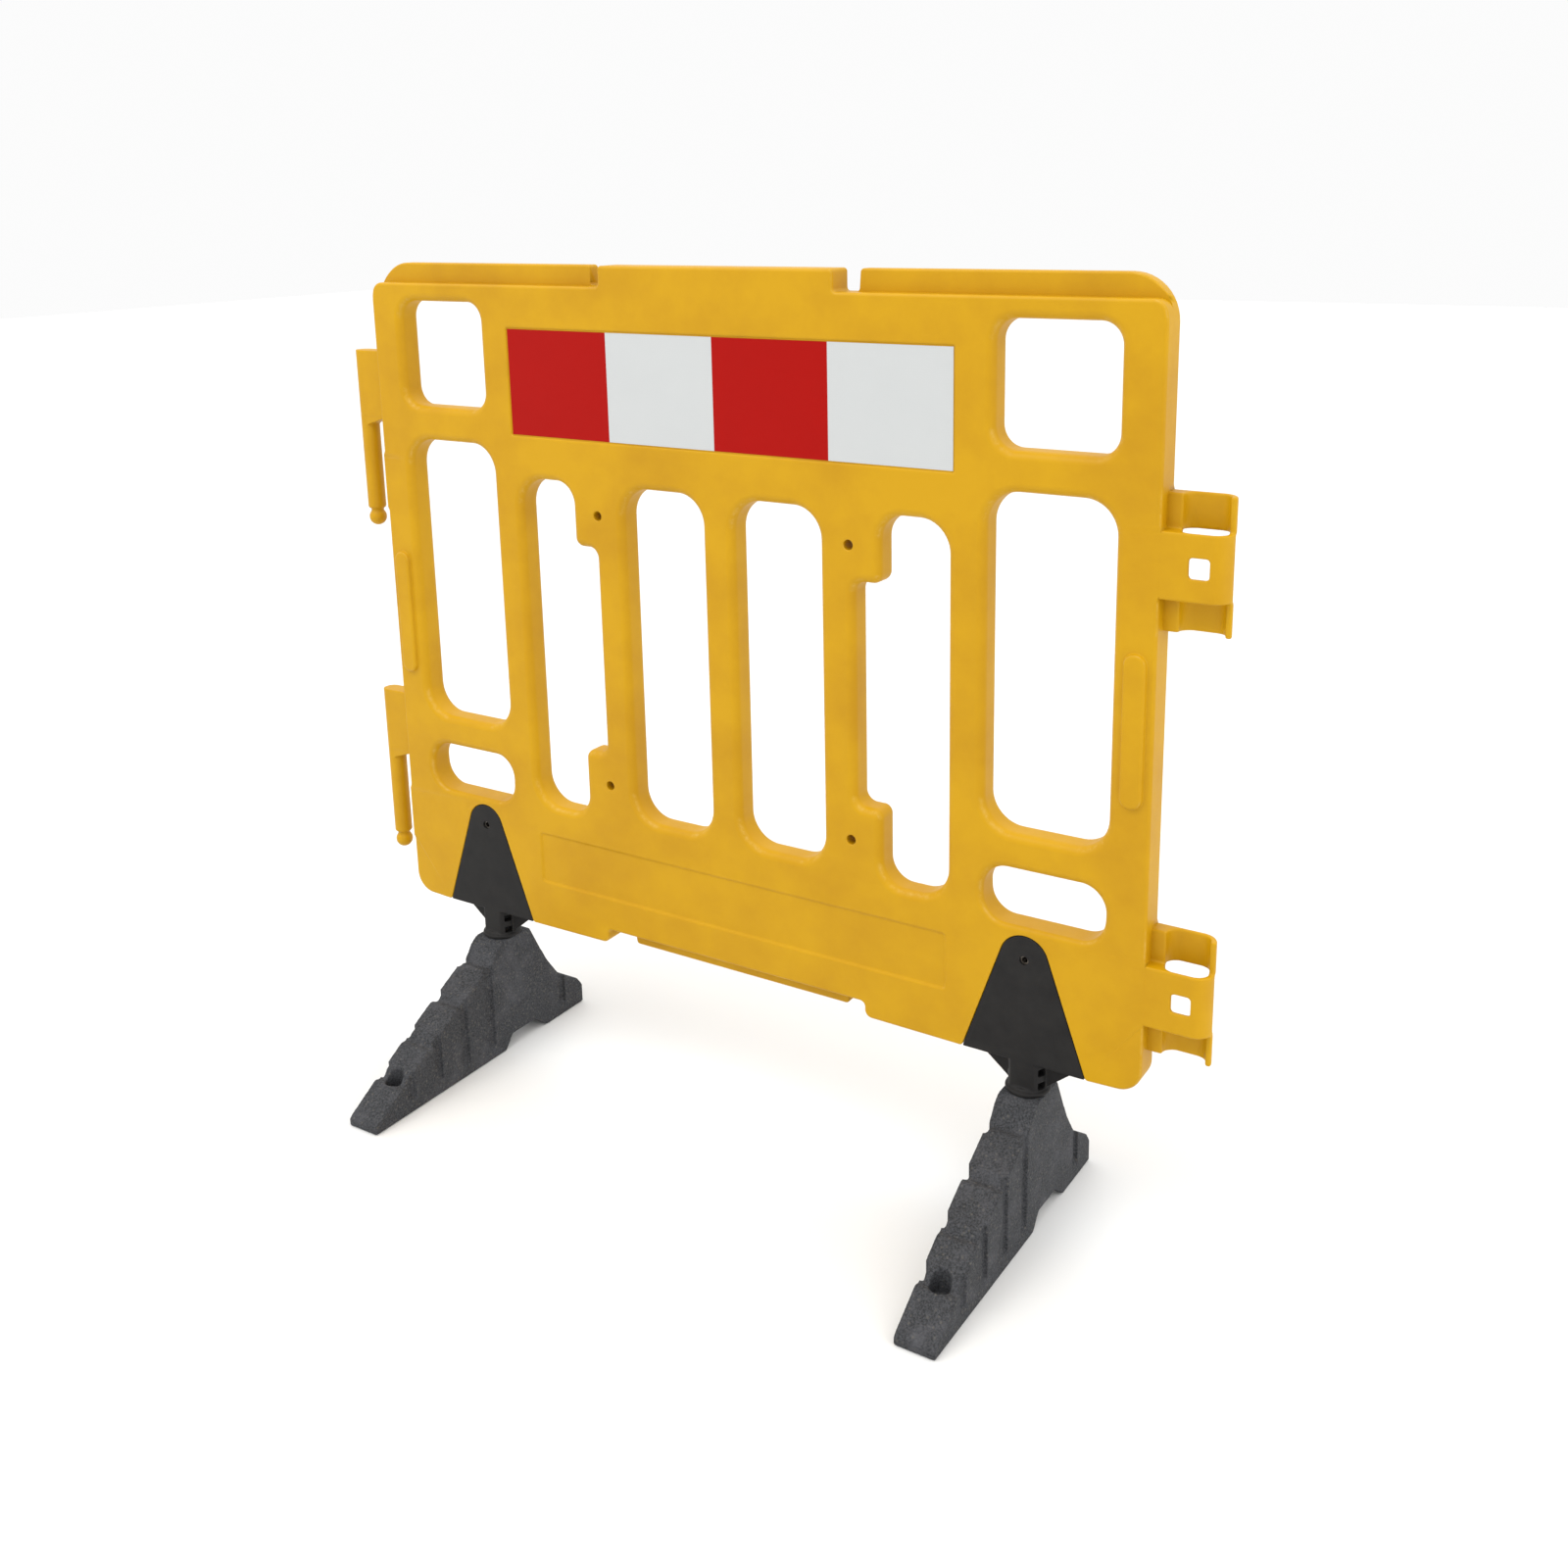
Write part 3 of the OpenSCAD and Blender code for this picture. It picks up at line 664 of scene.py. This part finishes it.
def buildPanel():
    p = panel
    bm = bmesh.new()
    openings = panelOpenings()
    for front in (True, False):
        face = -halfT if front else halfT
        inward = 1 if front else -1
        backRadius = 0.0 if front else p["flangeEdge"]
        outer = filletWall(bm, panelHalf(front), p["outerEdge"], face, 0.0, backRadius)
        holes = [filletWall(bm, path, p["openingEdge"], face, 0.0) for path in openings]
        strip = turnedOut(roundBox(-p["filmHalf"], p["filmLow"], p["filmHalf"], p["filmHigh"], 2.5))
        holes.append(stepPocket(bm, strip, p["filmStep"], face, inward))
        recess = turnedOut(roundBox(-p["plateHalf"], p["plateLow"], p["plateHalf"], p["plateHigh"], 4.0))
        holes.append(stepPocket(bm, recess, p["plateStep"], face, inward))
        if front:
            x, half = p["lugX"], p["lugHalf"]
            lug = turnedOut(roundBox(x - half, p["lugLow"], x + half, p["lugHigh"], 11.3))
            for path in (lug, mirrored(lug)):
                holes.append(stepPocket(bm, path, p["lugStep"], face, -1))
        capFace(bm, outer, holes)
    bmesh.ops.remove_doubles(bm, verts=bm.verts, dist=0.004)
    bmesh.ops.dissolve_degenerate(bm, dist=0.001, edges=bm.edges)
    # what is still open lies in the middle plane: the faces of the flanges and of the lower lip
    edges = [e for e in bm.edges if len(e.link_faces) == 1]
    bmesh.ops.holes_fill(bm, edges=edges, sides=0)
    print("panel: edges that don't close", sum(len(e.link_faces) != 2 for e in bm.edges))
    return makeObject("panel_moulding", bm)


panelMoulding = buildPanel()
print("panel built:", len(panelMoulding.data.polygons), "faces")


def buildSeatCores():
    # the panel's own plastic behind the cheeks, set back from both faces
    b = bracket
    depth = halfT - b["seat"]
    bm = bmesh.new()
    for x in (-footX, footX):
        base = panelFoot + b["saddle"] + 0.5
        (left, right, apex), r = bracketCorners(b["coreGrow"], base, x)
        low, high, top = x - b["pocketHalf"], x + b["pocketHalf"], b["pocketTop"]
        path = outline([left + (0.0,), (low, base, 0.0), (low, top, 2.0), (high, top, 2.0),
                        (high, base, 0.0), right + (0.0,), apex + (r,)])
        hole = turnedOut(circlePath(x, b["apexZ"], b["hole"]))
        outerRings = [ringAt(bm, path, lambda c: (0, y)) for y in (-depth, depth)]
        holeRings = [ringAt(bm, hole, lambda c: (0, y)) for y in (-depth, depth)]
        bridge(bm, outerRings)
        bridge(bm, holeRings)
        for k in (0, 1):
            capFace(bm, outerRings[k], [holeRings[k]])
    return makeObject("seat_cores", bm)


combine(panelMoulding, buildSeatCores(), "UNION")
shadeByAngle(panelMoulding, 32)
markEdges(panelMoulding)
finishPiece(carry(panelMoulding), yellowPlastic, "barrier", "panel_yellow", "panel")
print("seats joined:", len(panelMoulding.data.polygons), "faces")


def strapPlan(side):
    # half of a socket seen from above: flat root, round trough, thick rounded end
    k = links
    x0, trough = panel["half"], k["hollow"]
    start = x0 + k["out"] - trough / 2
    inner = halfT - k["wall"]
    end = start + trough
    tip = end + k["end"]
    lap = -k["lap"]
    dip = math.degrees(math.asin(k["lap"] / inner))
    points = [(x0 - 9, lap), (start + 0.2, lap)]
    points += arc(start + inner, 0, inner, 180 + dip, 90)
    points += arc(end - inner, 0, inner, 90, -dip)
    points += [(tip, lap)]
    points += arc(tip - halfT, 0, halfT - 0.05, 0, 90)
    points += [(x0 - 9, halfT - 0.05)]
    return points if side > 0 else [(x, -y) for x, y in points]


def buildSockets():
    k = links
    x = panel["half"] + k["out"]
    bm = bmesh.new()
    for z in (k["lower"], k["upper"]):
        inner, outer = k["strap"] / 2, k["strap"] / 2 + k["half"]
        prism(bm, strapPlan(1), z + inner - 0.6, z + outer)
        prism(bm, strapPlan(1), z - outer, z - inner + 0.6)
        prism(bm, strapPlan(-1), z - inner, z + inner)
    sockets = makeObject("link_sockets", bm)
    cutter = bmesh.new()
    for z in (k["lower"], k["upper"]):
        half = k["peep"] / 2
        square = [(c[0], c[1]) for c in roundBox(x - half, z - half, x + half, z + half, 3.5)]
        prism(cutter, square, -halfT - 3, 0, "xz")
    mould(sockets, 1.1, 7)
    combine(sockets, makeObject("peep_cutter", cutter), "DIFFERENCE")
    mould(sockets, 0.95, 3)
    return sockets


sockets = finishPiece(carry(buildSockets()), yellowPlastic, "barrier", "panel_yellow")
print("sockets built:", len(sockets.data.polygons), "faces")


def buildPins():
    k = links
    x = -panel["half"] - k["out"]
    bm = bmesh.new()
    for z in (k["lower"], k["upper"]):
        low = z + k["strap"] / 2 + k["half"] + 3
        root = -panel["half"] + 8
        plan = arc(x, 0, k["pin"], 90, 270, 20) + [(root, -k["pin"]), (root, k["pin"])]
        prism(bm, plan, low + 9, low + 90)
        wedge = [(x, low - 6), (x + 9, low - 1), (root, low + 10), (root, low + 12), (x, low + 12)]
        prism(bm, wedge, -k["pin"] + 0.4, k["pin"] - 0.4, "xz")
        ball = z - k["strap"] / 2 - k["half"] + 15.5
        shank = [(0.5, ball - k["tip"])]
        shank += [(k["tip"] * math.sin(math.radians(a)), ball - k["tip"] * math.cos(math.radians(a)))
                  for a in range(15, 136, 15)]
        shank += [(7.6, ball + 8.8), (7.6, ball + 10.2), (9.6, ball + 11.6), (k["pin"], ball + 13.2),
                  (k["pin"], low + 20)]
        lathe(bm, x, 0, shank)
    pins = makeObject("link_pins", bm)
    return mould(pins, 0.95, 3)


pins = finishPiece(carry(buildPins()), yellowPlastic, "barrier", "panel_yellow")
print("pins built:", len(pins.data.polygons), "faces")

# under each bracket: a round neck with vents, a collar on the foot and thin webs to the sides
neck = {
    "radius": 21.5, "collar": 24.5, "collarHeight": 5.0, "gap": 0.3, "bore": 6.06, "hub": 11.0,
    "webReach": 38.0, "web": 5.0, "ventWidth": 10.0, "ventHeight": 8.0, "ventDepth": 14,
    "ventTurns": (-66, 66, 114, 246), "ventShares": (0.3, 0.72),
}


def plate(bm, path, holes, front, back, edge):
    # flat plate with rounded edges on both faces
    middle = (front + back) / 2
    for face in (front, back):
        ring = filletWall(bm, path, edge, face, middle, steps=3)
        inner = [filletWall(bm, turnedOut(h), edge * 0.6, face, middle, steps=3) for h in holes]
        capFace(bm, ring, inner)


def buildBracket(name):
    b = bracket
    bm = bmesh.new()
    (left, right, apex), r = bracketCorners(0, panelFoot)
    path = outline([left + (1.2,), right + (1.2,), apex + (r,)], 5)
    hole = circlePath(0, b["apexZ"], b["hole"])
    plate(bm, path, [hole], -halfT, -halfT + b["cheek"], b["edge"])
    plate(bm, path, [hole], halfT - b["cheek"], halfT, b["edge"])
    inset, half = 2.2, b["base"] - 1.6
    low, high = panelFoot + 0.02, panelFoot + b["saddle"]
    saddle = outline([(-half, low, 0.6), (half, low, 0.6),
                      (half - inset, high, 0.6), (-half + inset, high, 0.6)])
    plate(bm, saddle, [], -halfT + inset, halfT - inset, 0.2)
    bmesh.ops.remove_doubles(bm, verts=bm.verts, dist=0.002)
    cheeks = makeObject(name, bm)
    shadeByAngle(cheeks, 35)
    markEdges(cheeks)
    return cheeks


def buildNeck(name):
    n = neck
    bm = bmesh.new()
    low, r = footH + n["gap"], n["radius"]
    flat = math.degrees(math.asin(min(1, halfT / r)))
    plan = arc(0, 0, r, -flat, flat, 24) + arc(0, 0, r, 180 - flat, 180 + flat, 24)
    prism(bm, plan, low, panelFoot + 2)
    c, top = n["collar"], low + n["collarHeight"]
    lathe(bm, 0, 0, [(c - 1.2, low), (c - 0.3, low + 0.4), (c, low + 1.4), (c, top - 1.6),
                     (c - 0.6, top - 0.5), (c - 1.8, top), (c - 3.4, top + 0.6), (r - 2, top + 2.4)])
    reach = r + n["webReach"]
    web = [(-reach, panelFoot + 1), (-r + 2, top), (r - 2, top), (reach, panelFoot + 1)]
    prism(bm, web, -n["web"] / 2, n["web"] / 2, "xz")
    body = makeObject(name, bm)
    mould(body, 0.8, 2)
    cutter = bmesh.new()
    for share in n["ventShares"]:
        z = footH + (panelFoot - footH) * share
        for turn in n["ventTurns"]:
            spin = Matrix.Rotation(math.radians(turn - 90), 4, "Z")
            box = bmesh.ops.create_cube(cutter, size=1)["verts"]
            stretch = Matrix.Diagonal((n["ventDepth"], n["ventWidth"], n["ventHeight"], 1))
            move = Matrix.Translation((n["hub"] + 1 + n["ventDepth"] / 2, 0, z))
            bmesh.ops.transform(cutter, matrix=spin @ move @ stretch, verts=box)
    combine(body, makeObject("vent_cutter", cutter), "DIFFERENCE")
    bore = bmesh.new()
    lathe(bore, 0, 0, [(n["bore"], footH - 2), (n["bore"], panelFoot + 20)], 32)
    combine(body, makeObject("bore_cutter", bore), "DIFFERENCE")
    mould(body, 0.62, 2)
    return body


for side, x in (("left", -footX), ("right", footX)):
    cheeks = carry(buildBracket("bracket_cheeks_" + side), x)
    finishPiece(cheeks, blackNylon, "barrier", "bracket_black", "bracket_" + side)
    body = carry(buildNeck("bracket_neck_" + side), x)
    finishPiece(body, blackNylon, "barrier", "bracket_black")
print("brackets built")

# the feet: y and z along the ramp, heights from the floor
foot = {
    "half": 22.5, "toe": -256.0, "heel": 123.0,
    "steps": [(-253, 12), (-196, 47), (-153, 73), (-97, 104), (-43, 133)],
    "rampShare": (0.72, 0.75), "dipShare": (0.87, 0.7), "riseShare": (0.96, 0.9),
    "grooves": (-196, -149, -102, -55, 81), "grooveWidth": 13.0, "grooveDepth": 4.0, "grooveLow": 14.0,
    "spikeY": -201.0, "spikeRadius": 8.0, "spikeWide": 11.0, "spikeLedge": 22.0, "bore": 6.06, "pocket": 12.5,
    "pocketTop": 28.5, "skinMm": 1.25,
}


def footProfile():
    f = foot
    points = [(f["toe"], 0.2, 1.5), (f["toe"], 8.5, 2.5)]
    for start, end in zip(f["steps"], f["steps"][1:]):
        run, rise = end[0] - start[0], end[1] - start[1]
        points.append((start[0], start[1], 3.0))
        for share in ("rampShare", "dipShare", "riseShare"):
            points.append((start[0] + run * f[share][0], start[1] + rise * f[share][1], 4.0))
    # y, z and corner radius over the crown, down the hollowed heel and through the arch
    points += [(-43, 133, 2), (-36, 143, 4), (-26, footH, 5), (26, footH, 4), (32, 138, 5), (44, 114, 12),
               (57, 90, 12), (74, 66, 14), (98, 47, 14), (114, 38, 7), (f["heel"], 26, 7),
               (f["heel"], 0.2, 1.5), (49, 0.2, 1.5), (26, 18, 3), (-17, 18, 3), (-31, 0.2, 1.5)]
    return [(c[0], c[1]) for c in outline([(y, z, r) for y, z, r in reversed(points)], 12)]


def buildFoot(name):
    f = foot
    bm = bmesh.new()
    prism(bm, footProfile(), -f["half"], f["half"], "yz")
    body = makeObject(name, bm)
    cutter = bmesh.new()
    for side in (-1, 1):
        for y in f["grooves"]:
            w = f["grooveWidth"] / 2
            outside, floor = side * (f["half"] + 1), side * (f["half"] - f["grooveDepth"])
            # the groove's lower end slopes out to the side
            places = ((outside, f["grooveLow"] - 2), (floor, f["grooveLow"] + 7), (floor, footH + 5),
                      (outside, footH + 5))
            low, lift, top, out = (
                [cutter.verts.new((px, y + dy, pz)) for dy in (-w, w)] for px, pz in places)
            for quad in ((low[0], low[1], lift[1], lift[0]), (lift[0], lift[1], top[1], top[0]),
                         (top[0], top[1], out[1], out[0]), (out[0], out[1], low[1], low[0]),
                         (low[0], lift[0], top[0], out[0]), (low[1], lift[1], top[1], out[1])):
                cutter.faces.new(quad)
    lathe(cutter, 0, f["spikeY"], [(f["spikeRadius"], -3), (f["spikeRadius"], f["spikeLedge"]),
                                   (f["spikeWide"], f["spikeLedge"] + 0.01), (f["spikeWide"], footH)], 40)
    lathe(cutter, 0, 0, [(f["pocket"], -3), (f["pocket"], f["pocketTop"]), (f["bore"], f["pocketTop"] + 0.01),
                         (f["bore"], footH + 5)], 40)
    combine(body, makeObject("foot_cutter", cutter), "DIFFERENCE")
    mould(body, f["skinMm"], 6)
    return body


for side, x in (("left", -footX), ("right", footX)):
    body = carry(buildFoot("foot_block_" + side), x)
    finishPiece(body, greyCrumb, side + "_foot", "foot_grey", "foot_" + side)
print("feet built")

# the frame's own pieces that stay
for name, node in frame["nodes"].items():
    if "_film_" in name or name.startswith(("swivel_", "cross_")):
        sheet = redSheeting if "_red_" in name else whiteSheeting
        node.data.materials.clear()
        node.data.materials.append(sheet if "_film_" in name else zincSteel)
print("film and hardware dressed")

# floor, light and camera, in metres
stage = {
    "floorHalf": 14.0, "floorColour": "#E0E0DF", "worldColour": "#FFFFFF", "horizon": 0.97, "zenith": 1.9,
}

floorMesh = bpy.data.meshes.new("floor")
h = stage["floorHalf"]
floorMesh.from_pydata([(-h, -h, 0), (h, -h, 0), (h, h, 0), (-h, h, 0)], [], [(0, 1, 2, 3)])
floor = linkObject("floor", floorMesh)
floorMaterial, tree, shader, place = newMaterial("paper sweep matt")
sheen = ranged(tree, noise(tree, place, 400, 2.0), 0.0, 1.0, 0.85, 0.95)
tree.links.new(sheen, shader.inputs["Roughness"])
shader.inputs["Base Color"].default_value = linear(stage["floorColour"])
shader.inputs["Specular IOR Level"].default_value = 0.2
floor.data.materials.append(floorMaterial)

world = bpy.data.worlds.new("studio")
world.use_nodes = True
sky = world.node_tree
sky.nodes["Background"].inputs["Color"].default_value = linear(stage["worldColour"])
upward = addNode(sky, "ShaderNodeTexCoord").outputs["Generated"]
upward = addNode(sky, "ShaderNodeSeparateXYZ", {}, {"Vector": upward}).outputs["Z"]
glow = ranged(sky, upward, 0.25, 1.0, stage["horizon"], stage["zenith"])
sky.links.new(glow, sky.nodes["Background"].inputs["Strength"])
bpy.context.scene.world = world


def softbox(name, place, target, size, power, colour):
    lamp = bpy.data.lights.new(name, "AREA")
    lamp.shape = "RECTANGLE"
    lamp.size, lamp.size_y = size
    lamp.energy = power
    lamp.color = linear(colour)[:3]
    lampObject = linkObject(name, lamp)
    lampObject.location = place
    aim = Vector(target) - Vector(place)
    lampObject.rotation_euler = aim.to_track_quat("-Z", "Y").to_euler()


softbox("key above", (-0.9, -1.6, 3.2), (0, 0, 0.5), (2.0, 1.4), 30, "#FFFDF8")
softbox("fill front left", (-2.8, -2.4, 1.4), (0, 0, 0.5), (1.8, 2.2), 4, "#F6FAFF")
softbox("fill right", (3.3, -0.3, 1.5), (0, 0, 0.4), (1.6, 2.2), 22, "#FFFFFF")

view = {
    "place": (0.985, -1.3465, 1.0745), "azimuth": 31.94, "down": 13.83, "roll": -0.93, "lens": 36.93,
    "shift": (-0.0187, -0.125),
}
az, down, roll = (math.radians(view[k]) for k in ("azimuth", "down", "roll"))
ahead = Vector((-math.sin(az) * math.cos(down), math.cos(az) * math.cos(down), -math.sin(down)))
camera = linkObject("camera", bpy.data.cameras.new("camera"))
camera.data.lens = view["lens"]
camera.data.sensor_width = 36
camera.data.shift_x, camera.data.shift_y = view["shift"]
turn = ahead.to_track_quat("-Z", "Y").to_matrix().to_4x4() @ Matrix.Rotation(roll, 4, "Z")
camera.matrix_world = Matrix.Translation(view["place"]) @ turn
bpy.context.scene.camera = camera
bpy.context.scene.view_settings.view_transform = "Standard"
print("stage set")
